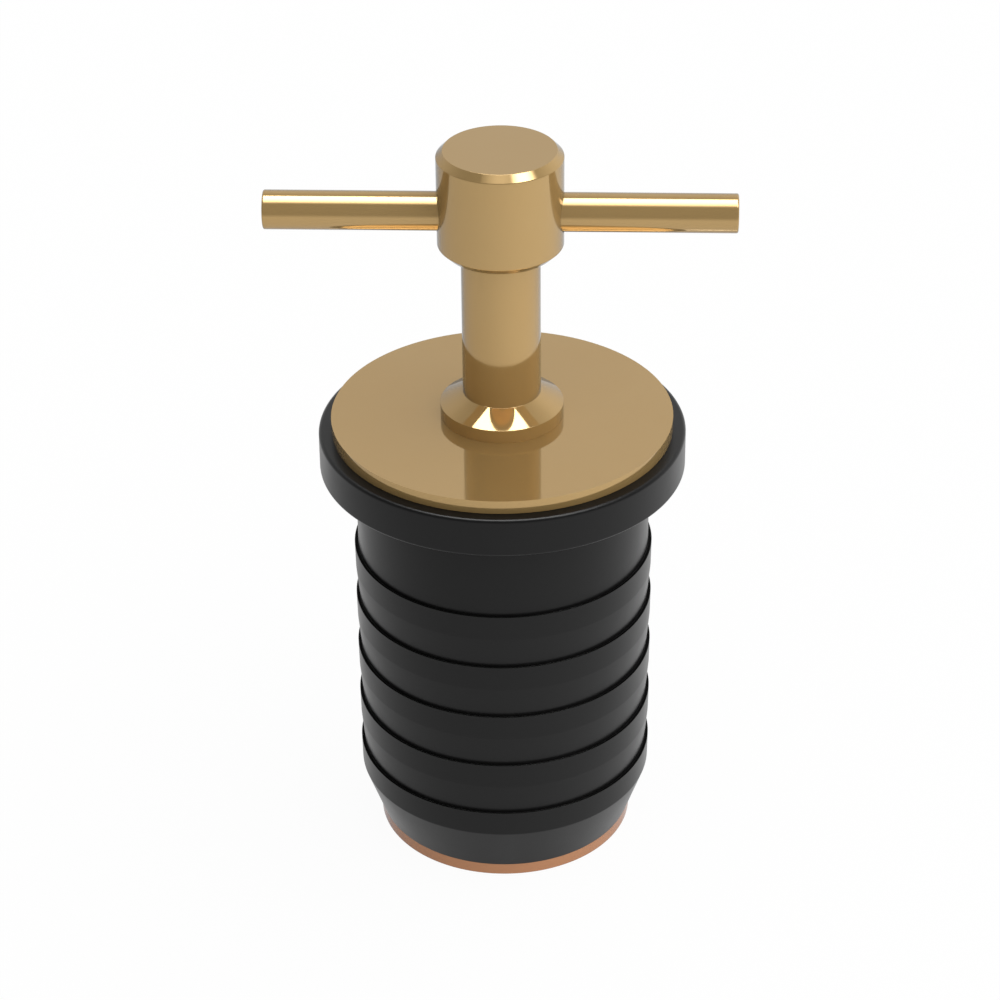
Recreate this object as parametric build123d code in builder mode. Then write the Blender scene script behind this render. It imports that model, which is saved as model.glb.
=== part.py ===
# Screw-down drain plug for a boat, standing on its bottom plate.
#
# A ribbed rubber body is trapped between two metal plates. A stud is riveted into the bottom plate and
# runs up through the rubber into a long brass nut with a cross bar. Turning the bar draws the plates
# together, so that the rubber grows shorter and wider and seals the drain hole.
#
# Millimetres, +Z up along the stud, +X along the cross bar, origin at the centre of the bottom face.

import os
from math import radians, tan

from build123d import *

os.makedirs("parts", exist_ok=True)

# Rubber body
plug_diameter = 25.0         # over the lips of the barbs, a slide fit in a one inch hole
barb_count = 5
barb_pitch = 4.95
barb_depth = 0.3             # how far a lip stands out over the groove above it
land_relief = 0.04           # a land leans in this far from the lip down to its lower end
land_height = 2.22           # from a barb's shelf down to the lower end of its land
toe_diameter = 21.8          # the cone at the foot ends flush with the bottom plate
toe_height = 4.41
neck_length = 7.51           # plain wall between the flange and the first barb
neck_root_bevel = 0.3        # in the corner under the flange
flange_diameter = 30.26
flange_thickness = 3.33
flange_top_bevel = 0.28
flange_foot_bevel = 0.12

# Bottom plate and stud
bottom_plate_thickness = 1.1
bottom_plate_diameter = 21.76
bottom_plate_edge = 0.12     # edge break of the stamped disc
stud_diameter = 4.8
stud_reach = 8.0             # thread inside the nut with the plug slack
stud_tip_chamfer = 0.5
neck_across_flats = 3.3      # square neck that keeps the stud from turning
rivet_diameter = 5.4         # the neck's end is spread into a countersink, flush with the plate
rivet_depth = 0.45

# Top plate
top_plate_diameter = 28.14
top_plate_thickness = 1.17

# Handle
collar_diameter = 10.14
collar_height = 1.06
collar_cone_height = 1.13
stem_diameter = 6.41
stem_length = 12.9
head_diameter = 10.16
head_height = 8.63
head_top_chamfer = 0.54
head_foot_chamfer = 0.58
bar_diameter = 3.13
bar_length = 37.7
bar_height = 3.25            # the bar's axis above the head's underside
bar_edge = 0.12              # edge break at the bar's ends

# Fits
rubber_bore_clearance = 0.4      # rubber round the stud
plate_bore_clearance = 0.25      # top plate round the stud
thread_clearance = 0.05          # nut round the stud
squeeze_travel = 3.97            # how far the plates are drawn together
bore_end_room = 1.0              # room over the stud's tip when the plug is fully tight
bore_mouth_chamfer = 0.35
drill_point_angle = 118.0

# Radii and heights that follow from the sizes above
lip_radius = plug_diameter / 2
groove_radius = lip_radius - barb_depth
flange_radius = flange_diameter / 2
stud_radius = stud_diameter / 2
rubber_bore_radius = stud_radius + rubber_bore_clearance

rubber_foot = bottom_plate_thickness
lowest_shelf = rubber_foot + toe_height + land_height
highest_shelf = lowest_shelf + (barb_count - 1) * barb_pitch
flange_underside = highest_shelf + neck_length
flange_top = flange_underside + flange_thickness
handle_seat = flange_top + top_plate_thickness
stem_foot = handle_seat + collar_height + collar_cone_height
head_underside = stem_foot + stem_length
head_top = head_underside + head_height


# Bottom plate: a stamped disc with a square hole, countersunk from below for the stud's rivet.
with BuildPart() as bottom_plate:
    with BuildSketch(Plane.XY):
        Circle(bottom_plate_diameter / 2)
        Rectangle(neck_across_flats, neck_across_flats, mode=Mode.SUBTRACT)
    extrude(amount=bottom_plate_thickness)
    rim = bottom_plate.edges().filter_by(GeomType.CIRCLE)
    chamfer(rim, bottom_plate_edge)
    with BuildSketch(Plane.XZ):
        with BuildLine():
            Polyline(
                (0, 0), (rivet_diameter / 2, 0), (neck_across_flats / 2, rivet_depth), (0, rivet_depth),
                close=True,
            )
        make_face()
    revolve(axis=Axis.Z, mode=Mode.SUBTRACT)

bottom_plate.part.label = "bottom_plate"
export_step(bottom_plate.part, "parts/bottom_plate.step")


# Stud: round thread, square neck through the bottom plate, and the rivet that fills the countersink.
with BuildPart() as stud:
    with BuildSketch(Plane.XY.offset(bottom_plate_thickness)):
        Circle(stud_radius)
    extrude(amount=handle_seat + stud_reach - bottom_plate_thickness)
    chamfer(stud.faces().sort_by(Axis.Z)[-1].edges(), stud_tip_chamfer)
    with BuildSketch(Plane.XY):
        Rectangle(neck_across_flats, neck_across_flats)
    extrude(amount=bottom_plate_thickness)
    with BuildSketch(Plane.XZ):
        with BuildLine():
            Polyline(
                (0, 0), (rivet_diameter / 2, 0), (neck_across_flats / 2, rivet_depth), (0, rivet_depth),
                close=True,
            )
        make_face()
    revolve(axis=Axis.Z)

stud.part.label = "stud"
export_step(stud.part, "parts/stud.step")


# Rubber body: one moulding, turned from its half section. The section is followed up the outside from
# the toe, one barb after another, and closed down the bore.
def barb_outline(shelf):
    """The outer corners of one barb, from the lower end of its land up to the groove over its shelf."""
    return [(lip_radius - land_relief, shelf - land_height), (lip_radius, shelf), (groove_radius, shelf)]


def corners_at(section, height, hair=0.001):
    """The corners of a half section at one height, from the axis outwards."""
    return section.vertices().filter_by_position(Axis.Y, height - hair, height + hair).sort_by(Axis.X)


outside = [(rubber_bore_radius, rubber_foot), (toe_diameter / 2, rubber_foot)]
for number in range(barb_count):
    outside += barb_outline(lowest_shelf + number * barb_pitch)
outside += [(groove_radius, flange_underside), (flange_radius, flange_underside)]
outside += [(flange_radius, flange_top), (rubber_bore_radius, flange_top)]

with BuildPart() as rubber_body:
    with BuildSketch(Plane.XZ) as section:
        with BuildLine():
            Polyline(*outside, close=True)
        make_face()
        chamfer(corners_at(section, flange_underside)[0], neck_root_bevel)
        chamfer(corners_at(section, flange_underside)[-1], flange_foot_bevel)
        chamfer(corners_at(section, flange_top)[-1], flange_top_bevel)
    revolve(axis=Axis.Z)

rubber_body.part.label = "rubber_body"
export_step(rubber_body.part, "parts/rubber_body.step")


# Top plate: a plain disc, which slides on the stud.
with BuildPart() as top_plate:
    with BuildSketch(Plane.XY.offset(flange_top)):
        Circle(top_plate_diameter / 2)
        Circle(stud_radius + plate_bore_clearance, mode=Mode.SUBTRACT)
    extrude(amount=top_plate_thickness)

top_plate.part.label = "top_plate"
export_step(top_plate.part, "parts/top_plate.step")


# Handle nut: collar with a coned top, stem and head turned from one bar, drilled and tapped from below,
# with a cross hole for the bar.
nut_bore_radius = stud_radius + thread_clearance
nut_bore_end = handle_seat + stud_reach + squeeze_travel + bore_end_room
drill_point_height = nut_bore_radius / tan(radians(drill_point_angle / 2))
bar_axis = head_underside + bar_height

with BuildPart() as handle_hub:
    with BuildSketch(Plane.XZ):
        with BuildLine():
            Polyline(
                (0, handle_seat),
                (collar_diameter / 2, handle_seat),
                (collar_diameter / 2, handle_seat + collar_height),
                (stem_diameter / 2, stem_foot),
                (stem_diameter / 2, head_underside),
                (head_diameter / 2 - head_foot_chamfer, head_underside),
                (head_diameter / 2, head_underside + head_foot_chamfer),
                (head_diameter / 2, head_top - head_top_chamfer),
                (head_diameter / 2 - head_top_chamfer, head_top),
                (0, head_top),
                close=True,
            )
        make_face()
    revolve(axis=Axis.Z)
    with BuildSketch(Plane.XZ):
        with BuildLine():
            Polyline(
                (0, handle_seat),
                (nut_bore_radius + bore_mouth_chamfer, handle_seat),
                (nut_bore_radius, handle_seat + bore_mouth_chamfer),
                (nut_bore_radius, nut_bore_end),
                (0, nut_bore_end + drill_point_height),
                close=True,
            )
        make_face()
    revolve(axis=Axis.Z, mode=Mode.SUBTRACT)
    with BuildSketch(Plane.YZ):
        with Locations((0, bar_axis)):
            Circle(bar_diameter / 2)
    extrude(amount=head_diameter, both=True, mode=Mode.SUBTRACT)

handle_hub.part.label = "handle_hub"
export_step(handle_hub.part, "parts/handle_hub.step")


# Cross bar: a plain rod pressed through the head, its ends broken.
with BuildPart() as cross_bar:
    with BuildSketch(Plane.YZ):
        with Locations((0, bar_axis)):
            Circle(bar_diameter / 2)
    extrude(amount=bar_length / 2, both=True)
    chamfer(cross_bar.edges().filter_by(GeomType.CIRCLE), bar_edge)

cross_bar.part.label = "cross_bar"
export_step(cross_bar.part, "parts/cross_bar.step")
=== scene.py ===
# %% [markdown]
# # A screw-down drain plug for a boat
#
# The plug is a ribbed rubber body caught between two metal plates. A threaded stud is riveted into the
# bottom plate and runs up through the rubber into a long brass nut, and a cross bar through the head of
# that nut turns it. This lesson dresses the plain CAD model of the plug: every visible piece is modelled
# again in fine detail around the same sizes, and gets a finish made of nodes.
#
# The CAD model comes in first. It is the fixed frame that every new piece is placed in.

import math

import bmesh
import bpy
from mathutils import Matrix, Vector


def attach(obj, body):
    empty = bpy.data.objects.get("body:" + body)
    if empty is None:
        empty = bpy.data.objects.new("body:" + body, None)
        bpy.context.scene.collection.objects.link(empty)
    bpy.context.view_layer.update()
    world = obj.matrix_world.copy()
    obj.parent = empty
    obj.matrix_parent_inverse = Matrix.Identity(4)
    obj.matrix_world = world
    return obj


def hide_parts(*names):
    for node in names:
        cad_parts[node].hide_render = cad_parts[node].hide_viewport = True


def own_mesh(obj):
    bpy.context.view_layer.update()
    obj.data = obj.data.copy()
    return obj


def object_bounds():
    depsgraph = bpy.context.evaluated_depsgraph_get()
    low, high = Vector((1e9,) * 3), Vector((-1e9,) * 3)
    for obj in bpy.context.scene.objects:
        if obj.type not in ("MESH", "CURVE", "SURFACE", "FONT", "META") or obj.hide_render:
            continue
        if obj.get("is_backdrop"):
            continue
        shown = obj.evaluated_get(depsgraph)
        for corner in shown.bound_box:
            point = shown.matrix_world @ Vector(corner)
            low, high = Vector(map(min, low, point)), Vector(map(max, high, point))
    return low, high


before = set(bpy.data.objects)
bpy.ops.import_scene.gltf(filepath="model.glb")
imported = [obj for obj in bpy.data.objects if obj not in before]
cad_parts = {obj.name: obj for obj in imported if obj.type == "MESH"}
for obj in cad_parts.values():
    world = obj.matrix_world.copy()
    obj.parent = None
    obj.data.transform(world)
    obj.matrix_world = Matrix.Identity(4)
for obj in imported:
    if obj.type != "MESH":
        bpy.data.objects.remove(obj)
cad_low, cad_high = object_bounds()

MM = 0.001  # Blender works in metres here, and the sizes below are written in millimetres

print("nodes:", ", ".join(sorted(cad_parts)))

# %% [markdown]
# ## Camera
#
# The picture is taken from a little over the plug, with a long lens, so the upright lines hardly
# converge. The camera is placed by the point that it aims at, its height angle, the angle it stands to
# one side, and its distance. The picture is also turned by half a degree about the line of sight.

# %% Camera
AIM = Vector((-0.239, -0.010, 31.051)) * MM
CAMERA_DISTANCE = 265.562 * MM
CAMERA_ELEVATION = math.radians(31.538)
CAMERA_AZIMUTH = math.radians(2.320)
CAMERA_ROLL = math.radians(-0.540)

camera_data = bpy.data.cameras.new("camera")
camera_data.sensor_width = 36.0
camera_data.lens = 114.239
camera_data.clip_start = 0.01
camera_data.clip_end = 10.0

camera = bpy.data.objects.new("camera", camera_data)
bpy.context.scene.collection.objects.link(camera)
turn = (
    Matrix.Rotation(CAMERA_AZIMUTH, 4, "Z")
    @ Matrix.Rotation(math.pi / 2 - CAMERA_ELEVATION, 4, "X")
    @ Matrix.Rotation(CAMERA_ROLL, 4, "Z")
)
towards_camera = turn.to_3x3() @ Vector((0, 0, 1))
camera.matrix_world = Matrix.Translation(AIM + towards_camera * CAMERA_DISTANCE) @ turn
bpy.context.scene.camera = camera
bpy.context.scene.view_settings.view_transform = "Standard"

print("camera at", [round(value / MM, 1) for value in camera.location], "mm")

# %% [markdown]
# ## Tools for node trees
#
# A colour picked from a screen is in sRGB, while Blender's sockets hold linear light, so one function
# turns a hex value into the linear one. A second function adds a node with its settings and its links,
# which keeps a whole node tree down to a few lines. A pattern's Scale counts how often it repeats in a
# metre, so a third function works it out from a real size in millimetres.


# %% Helpers for node trees
def linear(hex_colour):
    """The linear RGBA of a colour written as '#RRGGBB'."""
    channels = [int(hex_colour[start : start + 2], 16) / 255 for start in (1, 3, 5)]
    return (*(c / 12.92 if c <= 0.04045 else ((c + 0.055) / 1.055) ** 2.4 for c in channels), 1.0)


def add_node(tree, kind, settings={}, inputs={}):
    """Adds a node. settings are its properties. inputs are what its sockets get: a plain value, an output
    to link there, or a node, of which the first output is linked."""
    node = tree.nodes.new("ShaderNode" + kind)
    for name, value in settings.items():
        setattr(node, name, value)
    for socket, value in inputs.items():
        if isinstance(value, bpy.types.Node):
            value = value.outputs[0]
        if isinstance(value, bpy.types.NodeSocket):
            tree.links.new(value, node.inputs[socket])
        else:
            node.inputs[socket].default_value = value
    return node


def repeats_every(size):
    """The Scale of a pattern whose features are this many millimetres across."""
    return 1 / (size * MM)


NOISE_LOW = 0.3  # a noise texture's values lie mostly between these two
NOISE_HIGH = 0.7

print("a mid grey, #808080, in linear light:", round(linear("#808080")[0], 3))
print("the Scale of a pattern of 2 mm:", repeats_every(2.0))

# %% [markdown]
# ## Light
#
# The plug stands in a white studio. Polished brass shows what stands round it, so the studio is made
# first, and with care. All of it is one dome: the world, worked out from the direction that is looked in.
# Texture Coordinate gives that direction, and Separate XYZ takes it apart.

# %% Directions in the dome
WHITE = linear("#FFFFFF")

world = bpy.data.worlds.new("studio")
bpy.context.scene.world = world
world.use_nodes = True
tree = world.node_tree
tree.nodes.clear()

looking = add_node(tree, "TexCoord").outputs["Generated"]
direction = add_node(tree, "SeparateXYZ", {}, {0: looking})
to_the_right, to_the_back, upwards = direction.outputs

print("a direction has", len(direction.outputs), "parts")

# %% [markdown]
# The dome is white behind the plug and dark on the camera's side. The white floor brightens slowly below
# the horizon, and everything is a little dimmer on the left. Map Range turns a part of the direction into
# a brightness: its inputs are the value, the two ends that it runs between, and the two brightnesses to
# give there. Smoothstep makes it start and stop gently.

# %% What the metal sees: dome and floor
SOFTLY = {"interpolation_type": "SMOOTHSTEP"}
BLEND = {"data_type": "FLOAT"}  # for a Mix node that mixes two numbers
CAMERA_SIDE = 0.29
BEHIND = 1.00
FLOOR = 0.96

at_the_back = add_node(tree, "MapRange", SOFTLY, {0: to_the_back, 1: -0.3, 2: 0.8})
less_overhead = add_node(tree, "MapRange", SOFTLY, {0: upwards, 1: 0.55, 2: 0.85, 3: 1.0, 4: 0.65})
lit_wall = add_node(tree, "Math", {"operation": "MULTIPLY"}, {0: at_the_back, 1: less_overhead})
walls = add_node(tree, "Mix", BLEND, {0: lit_wall, 2: CAMERA_SIDE, 3: BEHIND})

below_horizon = add_node(tree, "MapRange", SOFTLY, {0: upwards, 1: 0.0, 2: -0.42})
walls_and_floor = add_node(tree, "Mix", BLEND, {0: below_horizon, 2: walls, 3: FLOOR})
brighter_right = add_node(tree, "MapRange", SOFTLY, {0: to_the_right, 1: -1.0, 2: 1.0, 3: 0.84, 4: 1.10})
dome = add_node(tree, "Math", {"operation": "MULTIPLY"}, {0: walls_and_floor, 1: brighter_right})

print("with the dome the world has", len(tree.nodes), "nodes")

# %% [markdown]
# Two soft boxes are bright patches in the dome, one overhead and one at the right in front. To place
# them, the direction is divided by its height, as if it were drawn on a flat ceiling. A patch is made by
# multiplying its soft edges. The front edge of the overhead box is bowed, and fades over a long way.


# %% What the metal sees: soft boxes
BOX_BRIGHTNESS = 9.5
LOWEST = 0.05  # keeps directions near the horizon from being divided by nearly nothing
BOW = -0.9


def soft_patch(tree, edges):
    """1 inside a patch and 0 outside. Each edge is (what is measured, where it is 0, where it is 1)."""
    patch = 1.0
    for measured, outside, inside in edges:
        edge = add_node(tree, "MapRange", SOFTLY, {0: measured, 1: outside, 2: inside})
        patch = add_node(tree, "Math", {"operation": "MULTIPLY"}, {0: patch, 1: edge})
    return patch


height = add_node(tree, "Math", {"operation": "MAXIMUM"}, {0: upwards, 1: LOWEST})
ceiling_x = add_node(tree, "Math", {"operation": "DIVIDE"}, {0: to_the_right, 1: height})
ceiling_y = add_node(tree, "Math", {"operation": "DIVIDE"}, {0: to_the_back, 1: height})
squared = add_node(tree, "Math", {"operation": "MULTIPLY"}, {0: ceiling_x, 1: ceiling_x})
bowed = add_node(tree, "Math", {"operation": "MULTIPLY_ADD"}, {0: squared, 1: BOW, 2: ceiling_y})
overhead_box = soft_patch(
    tree,
    [(ceiling_x, -0.48, -0.41), (ceiling_x, 0.41, 0.34), (bowed, -0.64, 0.04), (ceiling_y, 0.43, 0.35)],
)
right_box = soft_patch(
    tree,
    [(ceiling_x, 0.24, 0.48), (ceiling_x, 1.00, 0.64), (ceiling_y, -0.56, -0.48), (ceiling_y, 0.06, -0.16)],
)
boxes = add_node(tree, "Math", {"operation": "ADD"}, {0: overhead_box, 1: right_box})
mirrored = add_node(tree, "Math", {"operation": "MULTIPLY_ADD"}, {0: boxes, 1: BOX_BRIGHTNESS, 2: dome})

print("with the soft boxes it has", len(tree.nodes), "nodes")

# %% [markdown]
# Light Path tells the kinds of ray apart. Reflected rays see the dome with its boxes, and the camera sees
# plain white. The light that falls on the plug is a soft fill, strongest from above and from the right. It
# is at a plain level, so that colours come out as they are written.

# %% What lights the plug, and what the camera sees
FILL_FROM = (0.94, -0.39, 0.9)  # longer than 1, so this sets the strength as well
FILL_ALL_ROUND = 0.4

slope = add_node(tree, "VectorMath", {"operation": "DOT_PRODUCT"}, {0: looking, 1: FILL_FROM})
lifted = add_node(tree, "Math", {"operation": "ADD"}, {0: slope.outputs["Value"], 1: FILL_ALL_ROUND})
fill = add_node(tree, "Math", {"operation": "MAXIMUM"}, {0: lifted, 1: 0.0})

ray = add_node(tree, "LightPath").outputs
lighting = add_node(tree, "Mix", BLEND, {0: ray["Is Glossy Ray"], 2: fill, 3: mirrored})
seen = add_node(
    tree, "Math", {"operation": "MAXIMUM"}, {0: ray["Is Camera Ray"], 1: ray["Is Transmission Ray"]}
)
strength = add_node(tree, "Mix", BLEND, {0: seen, 2: lighting, 3: 1.0})
background = add_node(tree, "Background", {}, {"Color": WHITE, "Strength": strength})
add_node(tree, "OutputWorld", {}, {"Surface": background})

print("the whole world has", len(tree.nodes), "nodes")

# %% [markdown]
# ## Floor
#
# The floor is white paper. To the camera most of it is plain white and a part is the real paper, so that
# the plug's shadow stays. Reflected rays pass it by and see the floor that the dome has below its horizon.
# The tree of every material starts empty, so a small function makes such a material first.


# %% Floor
FLOOR_SIZE = 1.2
FLOOR_SHOWN_WHITE = 0.95  # the share of plain white in what the camera sees


def new_material(name):
    """A material, and its node tree, which is empty."""
    material = bpy.data.materials.new(name)
    material.use_nodes = True
    material.node_tree.nodes.clear()
    return material, material.node_tree


bm = bmesh.new()
bmesh.ops.create_grid(bm, x_segments=1, y_segments=1, size=FLOOR_SIZE / 2)
floor_mesh = bpy.data.meshes.new("studio_floor")
bm.to_mesh(floor_mesh)
bm.free()
floor = bpy.data.objects.new("studio_floor", floor_mesh)
bpy.context.scene.collection.objects.link(floor)
floor.visible_glossy = False
floor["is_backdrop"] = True

floor_paper, tree = new_material("white_studio_paper")
ray = add_node(tree, "LightPath").outputs
seen = add_node(
    tree, "Math", {"operation": "MAXIMUM"}, {0: ray["Is Camera Ray"], 1: ray["Is Transmission Ray"]}
)
share = add_node(tree, "Math", {"operation": "MULTIPLY"}, {0: seen, 1: FLOOR_SHOWN_WHITE})
paper = add_node(tree, "BsdfDiffuse", {}, {"Color": linear("#F7F7F7")})
white = add_node(tree, "Emission", {}, {"Color": WHITE, "Strength": 1.0})
both = add_node(tree, "MixShader", {}, {0: share, 1: paper, 2: white})
add_node(tree, "OutputMaterial", {}, {"Surface": both})
floor_mesh.materials.append(floor_paper)

print("the floor is", floor.dimensions.x, "m wide")

# %% [markdown]
# ## Brass and copper
#
# Brass is copper with about a third of zinc. Bare polished brass is a metal through and through, with a
# roughness near 0.1, and mirrors the studio in its own yellow. Matched to this plug, which has been
# handled, the values come down: a thin skin of tarnish lies over the metal and scatters a good part of the
# light as paint would. So the shader is only about half metal, and the rest is plain brown-yellow colour.
#
# Any metal mirrors more strongly at a glancing angle, and there it loses its colour. Under tarnish that is
# weaker. For a metal, Specular Tint sets what it mirrors at the very edge, and a pale blue-grey in place of
# white keeps the sides of the round pieces from shining too brightly.
#
# The nut was turned on a lathe, and fine rings are left where the tool went round. Rings need a pattern
# that depends only on the distance from the axis and on the height, so the coordinates are worked out
# that way. The same coordinates serve the top plate, which was polished as it span.


# %% Brass colours and ring coordinates
BRASS = linear("#B89964")
BRASS_WARM = linear("#B6955E")
BRASS_AT_THE_EDGE = linear("#B4C7DE")
BRASS_ROUGHNESS = 0.06
METAL_SHARE = 0.55


def around_the_axis(tree, place):
    """(radius, height, 0) of a place, so that what is drawn with it runs in rings round the Z axis."""
    level = add_node(tree, "VectorMath", {"operation": "MULTIPLY"}, {0: place, 1: (1, 1, 0)})
    radius = add_node(tree, "VectorMath", {"operation": "LENGTH"}, {0: level})
    parts = add_node(tree, "SeparateXYZ", {}, {0: place})
    return add_node(tree, "CombineXYZ", {}, {0: radius.outputs["Value"], 1: parts.outputs["Z"]})


print("brass in linear light:", [round(channel, 3) for channel in BRASS[:3]])

# %% [markdown]
# All the metals share one recipe. A soft cloud pattern shifts the colour a little, as handling does. A
# second one makes the gloss uneven. The marks left by the tool come as a third pattern, which differs from
# piece to piece and feeds a very shallow bump: the surface reflects like a mirror, so a depth of a few
# ten-thousandths of a millimetre is enough to be seen.


# %% One recipe for the polished metals
CLOUD_SIZE = 6.0
HAZE_SIZE = 2.5
HAZE_SPREAD = 0.015  # the roughness varies by this much both ways


def polished_metal(name, colours, roughness, marks_along, mark_size, mark_depth, metal_share=METAL_SHARE):
    """marks_along(tree, place) gives the coordinates of the tool marks. Their sizes are in millimetres."""
    material, tree = new_material(name)
    place = add_node(tree, "TexCoord").outputs["Object"]
    cloud = add_node(
        tree, "TexNoise", {}, {"Vector": place, "Scale": repeats_every(CLOUD_SIZE), "Detail": 3.0}
    )
    colour = add_node(tree, "Mix", {"data_type": "RGBA"}, {0: cloud, 6: colours[0], 7: colours[1]})
    haze = add_node(
        tree, "TexNoise", {}, {"Vector": place, "Scale": repeats_every(HAZE_SIZE), "Detail": 4.0}
    )
    gloss = add_node(
        tree,
        "MapRange",
        {},
        {0: haze, 1: NOISE_LOW, 2: NOISE_HIGH, 3: roughness - HAZE_SPREAD, 4: roughness + HAZE_SPREAD},
    )
    marks = add_node(
        tree,
        "TexNoise",
        {},
        {"Vector": marks_along(tree, place), "Scale": repeats_every(mark_size), "Detail": 2.0},
    )
    bump = add_node(tree, "Bump", {}, {"Strength": 1.0, "Distance": mark_depth * MM, "Height": marks})
    shader = add_node(
        tree,
        "BsdfPrincipled",
        {},
        {
            "Base Color": colour.outputs[2],
            "Metallic": metal_share,
            "Roughness": gloss,
            "Specular IOR Level": 1.0,
            "Specular Tint": BRASS_AT_THE_EDGE,
            "Normal": bump,
        },
    )
    add_node(tree, "OutputMaterial", {}, {"Surface": shader})
    print(f"{name}: marks of {mark_size} mm, roughness about {roughness}")
    return material


# %% [markdown]
# The nut and the top plate take the ring coordinates. On the lathe a finishing cut feeds the tool by less
# than a tenth of a millimetre in a turn, and rings that fine would not show.

# %% Turned brass for the nut, and polished brass for the top plate
turned_brass = polished_metal(
    "turned_polished_brass",
    (BRASS, BRASS_WARM),
    BRASS_ROUGHNESS,
    around_the_axis,
    mark_size=0.25,  # drawn coarser than the real rings, so that they show
    mark_depth=0.0002,
)
plate_brass = polished_metal(
    "polished_brass_sheet",
    (BRASS, BRASS_WARM),
    BRASS_ROUGHNESS,
    around_the_axis,
    mark_size=0.4,  # a polishing mop leaves wider rings than a tool does
    mark_depth=0.0002,
)

# %% [markdown]
# The cross bar is drawn rod. It was pulled through a die, so its marks are fine straight lines along the
# rod, which lies along X. Squeezing the pattern's X makes such lines out of a plain noise.


# %% Drawn brass for the cross bar
def along_the_rod(tree, place):
    """Coordinates that hardly change along X, so the pattern runs out into long lines."""
    return add_node(tree, "Mapping", {}, {"Vector": place, "Scale": (0.02, 1.0, 1.0)})


rod_brass = polished_metal(
    "drawn_polished_brass",
    (BRASS, BRASS_WARM),
    BRASS_ROUGHNESS,
    along_the_rod,
    mark_size=0.2,
    mark_depth=0.0001,
)

# %% [markdown]
# The bottom plate is a stamped disc of a redder, coppery metal, left satin as it came from the press. It
# has the thickest skin, so it is one third metal and rougher. Its marks run nowhere in particular, so the
# noise keeps the plain coordinates. The stud is rolled brass, satin as well.


# %% Stamped copper-coloured sheet, and rolled brass for the stud
def nowhere_in_particular(tree, place):
    """The plain coordinates."""
    return place


copper_sheet = polished_metal(
    "stamped_copper_sheet",
    (linear("#B57E53"), linear("#B07A50")),
    roughness=0.20,
    marks_along=nowhere_in_particular,
    mark_size=0.15,
    mark_depth=0.0006,
    metal_share=0.35,
)
stud_brass = polished_metal(
    "rolled_thread_brass",
    (BRASS, BRASS_WARM),
    roughness=0.22,
    marks_along=nowhere_in_particular,
    mark_size=0.12,
    mark_depth=0.0004,
)

# %% [markdown]
# ## Black rubber
#
# The body is moulded in black rubber. Carbon black takes nearly all the light that gets in, so what the
# eye sees is mostly the sheen of the skin: dull grey where it faces the camera and bright along the sides,
# where any smooth surface turns into a mirror. Solid rubber has an IOR of about 1.5. Its skin is dusty and
# mirrors less than that, so the level of the sheen was matched to the object. The skin copies the mould,
# which was blasted with fine grit, so it is slightly uneven.

# %% Moulded rubber
GRIT_SIZE = 0.12
GRIT_DEPTH = 0.0010
FLOW_SIZE = 4.0

rubber, tree = new_material("moulded_black_rubber")
place = add_node(tree, "TexCoord").outputs["Object"]
grit = add_node(tree, "TexNoise", {}, {"Vector": place, "Scale": repeats_every(GRIT_SIZE), "Detail": 2.0})
flow = add_node(tree, "TexNoise", {}, {"Vector": place, "Scale": repeats_every(FLOW_SIZE), "Detail": 3.0})
sheen = add_node(tree, "MapRange", {}, {0: flow, 1: NOISE_LOW, 2: NOISE_HIGH, 3: 0.28, 4: 0.34})
skin = add_node(tree, "Bump", {}, {"Strength": 1.0, "Distance": GRIT_DEPTH * MM, "Height": grit})
shader = add_node(
    tree,
    "BsdfPrincipled",
    {},
    {
        "Base Color": linear("#111111"),
        "Roughness": sheen,
        "IOR": 1.5,
        "Specular IOR Level": 0.215,
        "Normal": skin,
    },
)
add_node(tree, "OutputMaterial", {}, {"Surface": shader})

print("the rubber has", len(tree.nodes), "nodes")

# %% [markdown]
# ## Turned shapes
#
# Nearly every piece of the plug is round, so it is made as on a lathe: half of its section is drawn as a
# chain of edges beside the axis, its corners are rounded, and the chain is spun a full turn. Each corner
# is written as (radius, height), and a third number rounds it by that much. The rounding comes from
# bevel, which works on a chain of loose edges as well as on a solid. Spinning with use_merge closes the
# seam, and merging doubles afterwards closes the ends that lie on the axis.
#
# Smooth shading blends the light across every edge, which would make a flat face next to a rounding look
# faintly dished. So each long edge of the section gets two holding points close to its ends. They turn
# into narrow rings that take up all of the blending, and the face between them stays flat.


# %% Helpers for turned pieces
HOLDING_DISTANCE = 0.008 * MM
LONG_EDGE = 10 * HOLDING_DISTANCE  # shorter edges need no holding points
MERGE_DISTANCE = 0.0005 * MM
FINE_STEPS = 256  # around the large pieces


def hold_flat(bm):
    """Splits each long edge close to its ends, but not where it ends on the axis."""
    for edge in bm.edges[:]:
        for end in edge.verts[:]:
            if end.co.x > 0 and edge.calc_length() > LONG_EDGE:
                bmesh.utils.edge_split(edge, end, HOLDING_DISTANCE / edge.calc_length())


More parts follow.
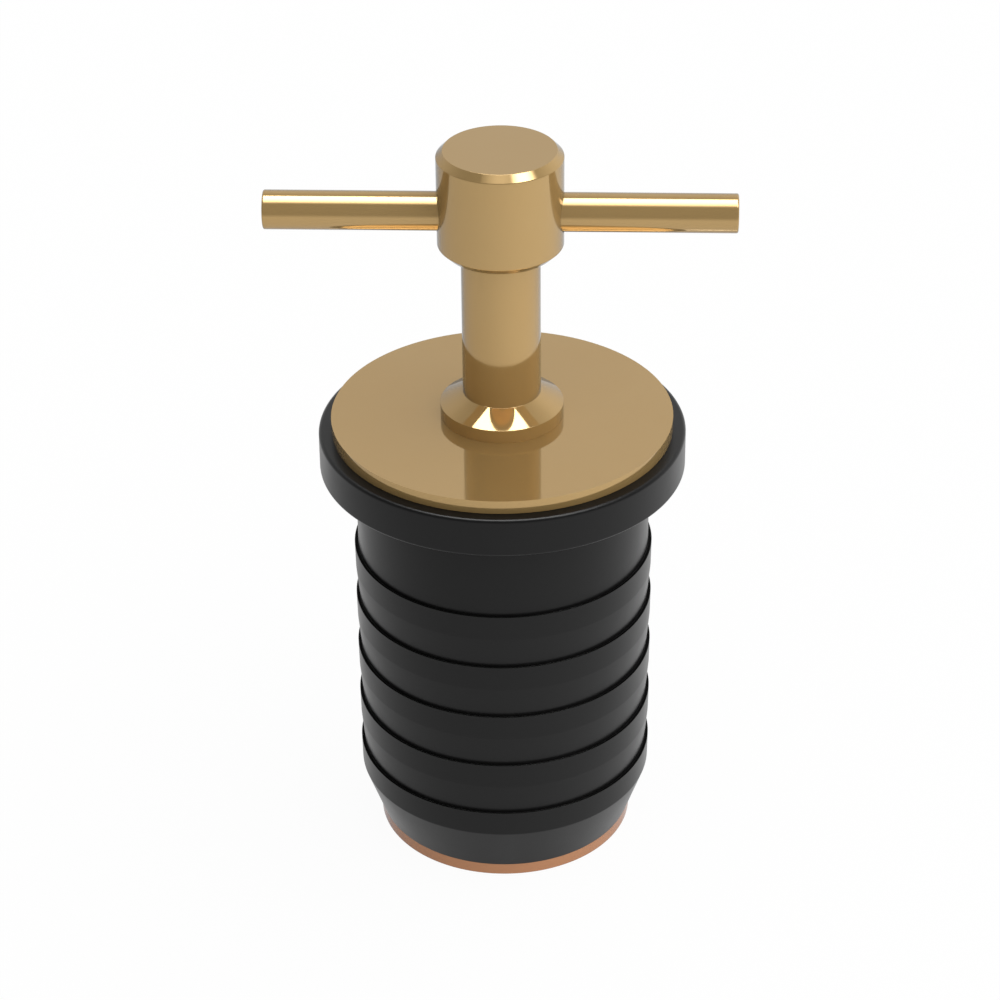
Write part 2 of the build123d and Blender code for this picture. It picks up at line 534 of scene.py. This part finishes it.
def spun(corners, steps=FINE_STEPS, closed=False, rounding_segments=4):
    """A bmesh turned round the Z axis from half of its section, with sizes in millimetres."""
    bm = bmesh.new()
    chain = [bm.verts.new((corner[0] * MM, 0, corner[1] * MM)) for corner in corners]
    for one, other in zip(chain, chain[1:]):
        bm.edges.new((one, other))
    if closed:
        bm.edges.new((chain[-1], chain[0]))
    for vertex, corner in zip(chain, corners):
        if len(corner) == 3:
            bmesh.ops.bevel(
                bm,
                geom=[vertex],
                offset=corner[2] * MM,
                segments=rounding_segments,
                profile=0.5,
                affect="VERTICES",
                material=-1,
            )
    hold_flat(bm)
    bmesh.ops.spin(
        bm,
        geom=bm.verts[:] + bm.edges[:],
        cent=(0, 0, 0),
        axis=(0, 0, 1),
        angle=2 * math.pi,
        steps=steps,
        use_merge=True,
        use_duplicate=False,
    )
    bmesh.ops.remove_doubles(bm, verts=bm.verts, dist=MERGE_DISTANCE)
    bmesh.ops.recalc_face_normals(bm, faces=bm.faces)
    return bm


print("a large piece has", FINE_STEPS, "steps around, or one in", 360 / FINE_STEPS, "degrees")

# %% [markdown]
# A finished bmesh becomes a mesh, with smooth shading that breaks at sharp edges, and an object. Three
# calls then tell the frame about it: the body that it moves with, the material slot that it fills, and the
# CAD node that it takes the place of.


# %% Finish a piece
SHARP_FROM = math.radians(50)


def finished(bm, name, material, body, node):
    """Turns a bmesh into a piece that rides on a body and takes the place of a CAD node."""
    mesh = bpy.data.meshes.new(name)
    bm.to_mesh(mesh)
    bm.free()
    mesh.shade_smooth()
    mesh.set_sharp_from_angle(angle=SHARP_FROM)
    mesh.materials.append(material)
    piece = bpy.data.objects.new(name, mesh)
    bpy.context.scene.collection.objects.link(piece)
    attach(piece, body)
    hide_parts(node)
    size = piece.dimensions / MM
    print(f"{name}: {len(mesh.polygons)} faces, {size.x:.2f} x {size.y:.2f} x {size.z:.2f} mm")
    return piece


# %% [markdown]
# ## Rubber body
#
# The body is moulded in one. Five barbs grip the wall of the drain hole: each has a cone that leads in and
# a plain land that ends in a sharp shelf. Above them comes a plain neck, and then the flange that seals
# against the hull. Radii and heights are in millimetres, and the bottom plate stands at height 0.

# %% Sizes of the rubber body
RUBBER_BORE = 2.80
BOTTOM_PLATE_TOP = 1.10
TOE = 10.90
LAND_FOOT = 12.46
LIP = 12.50
GROOVE = 12.20
LOWEST_SHELF = 7.73
BARB_PITCH = 4.95
BARB_COUNT = 5
LAND_HEIGHT = 2.22
HOOK = 0.15  # a shelf slopes down this far towards the axis, so the lip bites
FLANGE = 15.13
FLANGE_FOOT = 35.04
FLANGE_TOP = 38.37


def barb(shelf):
    """The outer corners of one barb, from the lower end of its land up to the groove over its shelf."""
    return [(LAND_FOOT, shelf - LAND_HEIGHT, 0.06), (LIP, shelf, 0.03), (GROOVE, shelf - HOOK, 0.03)]


print("shelves at", [round(LOWEST_SHELF + number * BARB_PITCH, 2) for number in range(BARB_COUNT)], "mm")

# %% [markdown]
# The section is followed up the outside, one barb after another, and closed down the bore.

# %% Spin the rubber body
section = [(RUBBER_BORE, BOTTOM_PLATE_TOP, 0.1), (TOE, BOTTOM_PLATE_TOP, 0.02)]
for number in range(BARB_COUNT):
    section += barb(LOWEST_SHELF + number * BARB_PITCH)
section += [
    (GROOVE, FLANGE_FOOT, 0.3),
    (FLANGE, FLANGE_FOOT, 0.22),
    (FLANGE, FLANGE_TOP, 0.28),
    (RUBBER_BORE, FLANGE_TOP, 0.1),
]
rubber_piece = finished(
    spun(section, closed=True, rounding_segments=5),
    "barbed_rubber_body",
    rubber,
    "base",
    "rubber_body",
)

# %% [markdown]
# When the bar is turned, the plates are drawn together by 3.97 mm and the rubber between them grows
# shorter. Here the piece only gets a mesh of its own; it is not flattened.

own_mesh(rubber_piece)

# %% [markdown]
# ## Top plate
#
# A thin brass disc spreads the pressure of the nut over the rubber. Its upper edge was trimmed last and is
# still sharp, so it shows no bright line. The other corners are broken by a few hundredths of a
# millimetre.

# %% Top plate
PLATE = 14.07
PLATE_BORE = 2.65
PLATE_TOP = 39.54

finished(
    spun(
        [
            (PLATE_BORE, FLANGE_TOP, 0.05),
            (PLATE, FLANGE_TOP, 0.05),
            (PLATE, PLATE_TOP),
            (PLATE_BORE, PLATE_TOP, 0.05),
        ],
        closed=True,
    ),
    "brass_top_plate",
    plate_brass,
    "top_plate",
    "top_plate",
)

# %% [markdown]
# ## Cross bar
#
# A plain rod, pressed through the head of the nut. It is turned like the rest, standing on the Z axis,
# and then laid down along X by one matrix, which goes into the mesh so that the object stays unturned.

# %% Cross bar
BAR = 1.58
BAR_HALF_LENGTH = 18.85
BAR_END_ROUNDING = 0.14
BAR_AXIS_HEIGHT = 57.895
BAR_STEPS = 96

bm = spun(
    [
        (0, -BAR_HALF_LENGTH),
        (BAR, -BAR_HALF_LENGTH, BAR_END_ROUNDING),
        (BAR, BAR_HALF_LENGTH, BAR_END_ROUNDING),
        (0, BAR_HALF_LENGTH),
    ],
    steps=BAR_STEPS,
)
laid_down = Matrix.Translation((0, 0, BAR_AXIS_HEIGHT * MM)) @ Matrix.Rotation(math.pi / 2, 4, "Y")
bmesh.ops.transform(bm, matrix=laid_down, verts=bm.verts)
finished(bm, "brass_cross_bar", rod_brass, "handle", "cross_bar")

# %% [markdown]
# ## Nut
#
# Head, stem and collar are one long nut, turned from a single bar. Its half section starts at the tip of
# the drilled hole, runs down the bore, round the collar, up its coned shoulder and the stem, and round the
# head to the axis again. The shoulder is flat in section and leans by 30 degrees. So it mirrors the soft
# box as two bright fans, and between them the underside of the head. The underside in turn is a very flat
# cone, so it mirrors the lit top plate and not the collar just below it.

# %% Sizes of the nut
NUT_BORE = 2.45
BORE_MOUTH = 2.80
BORE_MOUTH_TOP = 39.89
BORE_END = 52.51
DRILL_POINT = 53.98
COLLAR = 5.07
COLLAR_TOP = 40.67
STEM = 3.205
STEM_FOOT = 41.73
HEAD = 5.08
HEAD_FOOT = 54.63
HEAD_FOOT_CHAMFER = 0.58
HEAD_TOP = 63.26
HEAD_TOP_CHAMFER = 0.54
UNDERSIDE_DROP = 0.11  # the head's underside comes down by this much from its rim to the stem

lean = math.degrees(math.atan2(STEM_FOOT - COLLAR_TOP, COLLAR - STEM))
print("the shoulder leans by", round(lean, 1), "degrees")

# %% [markdown]
# The corners that show a bright line in the picture are rounded by a few hundredths of a millimetre.

# %% Spin the nut
turned_nut = finished(
    spun(
        [
            (0, DRILL_POINT),
            (NUT_BORE, BORE_END),
            (NUT_BORE, BORE_MOUTH_TOP),
            (BORE_MOUTH, PLATE_TOP, 0.04),
            (COLLAR, PLATE_TOP, 0.02),
            (COLLAR, COLLAR_TOP, 0.02),
            (STEM, STEM_FOOT, 0.015),
            (STEM, HEAD_FOOT - UNDERSIDE_DROP, 0.02),
            (HEAD - HEAD_FOOT_CHAMFER, HEAD_FOOT, 0.03),
            (HEAD, HEAD_FOOT + HEAD_FOOT_CHAMFER, 0.04),
            (HEAD, HEAD_TOP - HEAD_TOP_CHAMFER, 0.04),
            (HEAD - HEAD_TOP_CHAMFER, HEAD_TOP, 0.01),
            (0, HEAD_TOP),
        ],
    ),
    "turned_brass_nut",
    turned_brass,
    "handle",
    "handle_hub",
)

# %% [markdown]
# The cross hole is a hair wider than the bar, and that hair shows as a fine dark line where the bar goes
# in. A Boolean modifier drills it. Its result is then made the piece's own mesh, so that the rim of the
# hole can be marked sharp like every other edge.

# %% Drill the cross hole
HOLE = BAR + 0.05

bm = bmesh.new()
bmesh.ops.create_cone(
    bm,
    segments=BAR_STEPS,
    radius1=HOLE * MM,
    radius2=HOLE * MM,
    depth=4 * HEAD * MM,
    cap_ends=True,
    matrix=laid_down,
)
drill_mesh = bpy.data.meshes.new("drill")
bm.to_mesh(drill_mesh)
bm.free()
drill = bpy.data.objects.new("drill", drill_mesh)
cross_hole = turned_nut.modifiers.new("cross_hole", "BOOLEAN")
cross_hole.operation = "DIFFERENCE"
cross_hole.solver = "EXACT"
cross_hole.object = drill
drilled = bpy.data.meshes.new_from_object(turned_nut.evaluated_get(bpy.context.evaluated_depsgraph_get()))
turned_nut.modifiers.clear()
turned_nut.data = drilled
drilled.set_sharp_from_angle(angle=SHARP_FROM)
bpy.data.objects.remove(drill)
print("the drilled nut has", len(drilled.polygons), "faces")

# %% [markdown]
# ## Bottom plate
#
# The disc under the rubber, with the rounded edge that a press gives it. The neck of the stud passes
# through its middle, and a countersink takes the spread end, so that the plate stands flat.

# %% Bottom plate
BOTTOM_PLATE = 10.88
RIVET = 2.70
RIVET_DEPTH = 0.45
NECK = 1.65  # half the width of the stud's square neck

finished(
    spun(
        [
            (RIVET, 0, 0.03),
            (BOTTOM_PLATE, 0, 0.14),
            (BOTTOM_PLATE, BOTTOM_PLATE_TOP, 0.02),
            (NECK, BOTTOM_PLATE_TOP),
            (NECK, RIVET_DEPTH),
        ],
        steps=192,
        closed=True,
    ),
    "copper_bottom_plate",
    copper_sheet,
    "base",
    "bottom_plate",
)

# %% [markdown]
# ## Stud
#
# The stud is a screw with a rolled thread of 24 turns to the inch. Spin can climb as it turns: with a
# dvec, each step also moves up a little. The outline of a single thread, one pitch high, climbs by one
# pitch in a turn, so each turn starts where the last one ended, and merging doubles joins them. The
# helix starts below and ends above the stud, and two cuts trim it level. Filling the rims of the cuts
# closes the tip. It leaves the lower end open, as the last number printed shows: that end lies hidden
# against the bottom plate, round the neck.

# %% Roll the thread
THREAD_CREST = 2.40
THREAD_ROOT = 1.80
THREAD_PITCH = 25.4 / 24
STUD_FOOT = BOTTOM_PLATE_TOP
STUD_REACH = 8.0  # into the nut
STUD_TIP = PLATE_TOP + STUD_REACH
STEPS_PER_TURN = 40

turns = math.ceil((STUD_TIP - STUD_FOOT) / THREAD_PITCH) + 2
outline = [  # the radius, and the height as a share of the pitch
    (THREAD_ROOT, 0.0),
    (THREAD_ROOT, 0.12),
    (THREAD_CREST, 0.44),
    (THREAD_CREST, 0.56),
    (THREAD_ROOT, 0.88),
    (THREAD_ROOT, 1.0),
]
bm = bmesh.new()
chain = [
    bm.verts.new((radius * MM, 0, (STUD_FOOT + (share - 1) * THREAD_PITCH) * MM)) for radius, share in outline
]
for one, other in zip(chain, chain[1:]):
    bm.edges.new((one, other))
bmesh.ops.spin(
    bm,
    geom=bm.verts[:] + bm.edges[:],
    cent=(0, 0, 0),
    axis=(0, 0, 1),
    dvec=(0, 0, THREAD_PITCH * MM / STEPS_PER_TURN),
    angle=2 * math.pi * turns,
    steps=STEPS_PER_TURN * turns,
    use_merge=False,
    use_duplicate=False,
)
bmesh.ops.remove_doubles(bm, verts=bm.verts, dist=0.002 * MM)
for level, cut_away in ((STUD_FOOT, -1), (STUD_TIP, 1)):
    cut = bmesh.ops.bisect_plane(
        bm,
        geom=bm.verts[:] + bm.edges[:] + bm.faces[:],
        plane_co=(0, 0, level * MM),
        plane_no=(0, 0, cut_away),
        clear_outer=True,
    )
    rim = [item for item in cut["geom_cut"] if isinstance(item, bmesh.types.BMEdge)]
    bmesh.ops.edgenet_fill(bm, edges=rim)
print("the thread has", turns - 2, "turns and", len(bm.faces), "faces")
print("open edges:", sum(edge.is_boundary for edge in bm.edges))

# %% [markdown]
# Below the thread comes the square neck, which keeps the stud from turning in the plate, and then the
# spread end that fills the countersink. A four-sided cone of equal radii makes the neck.

# %% Add the neck and the spread end
RIVET_GAP = 0.02  # a fine line shows between the spread end and the plate

neck_height = BOTTOM_PLATE_TOP - RIVET_DEPTH
neck_middle = RIVET_DEPTH + neck_height / 2
bmesh.ops.create_cone(
    bm,
    segments=4,
    radius1=NECK * math.sqrt(2) * MM,
    radius2=NECK * math.sqrt(2) * MM,
    depth=neck_height * MM,
    cap_ends=True,
    matrix=Matrix.Translation((0, 0, neck_middle * MM)) @ Matrix.Rotation(math.pi / 4, 4, "Z"),
)
rivet = spun([(0, 0), (RIVET - RIVET_GAP, 0, 0.05), (NECK, RIVET_DEPTH), (0, RIVET_DEPTH)], steps=96)
rivet_mesh = bpy.data.meshes.new("rivet")
rivet.to_mesh(rivet_mesh)
rivet.free()
bm.from_mesh(rivet_mesh)
bpy.data.meshes.remove(rivet_mesh)
bmesh.ops.recalc_face_normals(bm, faces=bm.faces)
finished(bm, "threaded_brass_stud", stud_brass, "base", "stud")

# %% [markdown]
# ## Both boxes
#
# The dressed model has to stay as large as the CAD model, so both boxes are printed one after the other.

# %% Print both boxes
low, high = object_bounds()
boxes = {"cad": [list(cad_low), list(cad_high)], "visual": [list(low), list(high)]}
for name, (bottom, top) in boxes.items():
    print(name, "box:", [round((b - a) / MM, 2) for a, b in zip(bottom, top)], "mm")
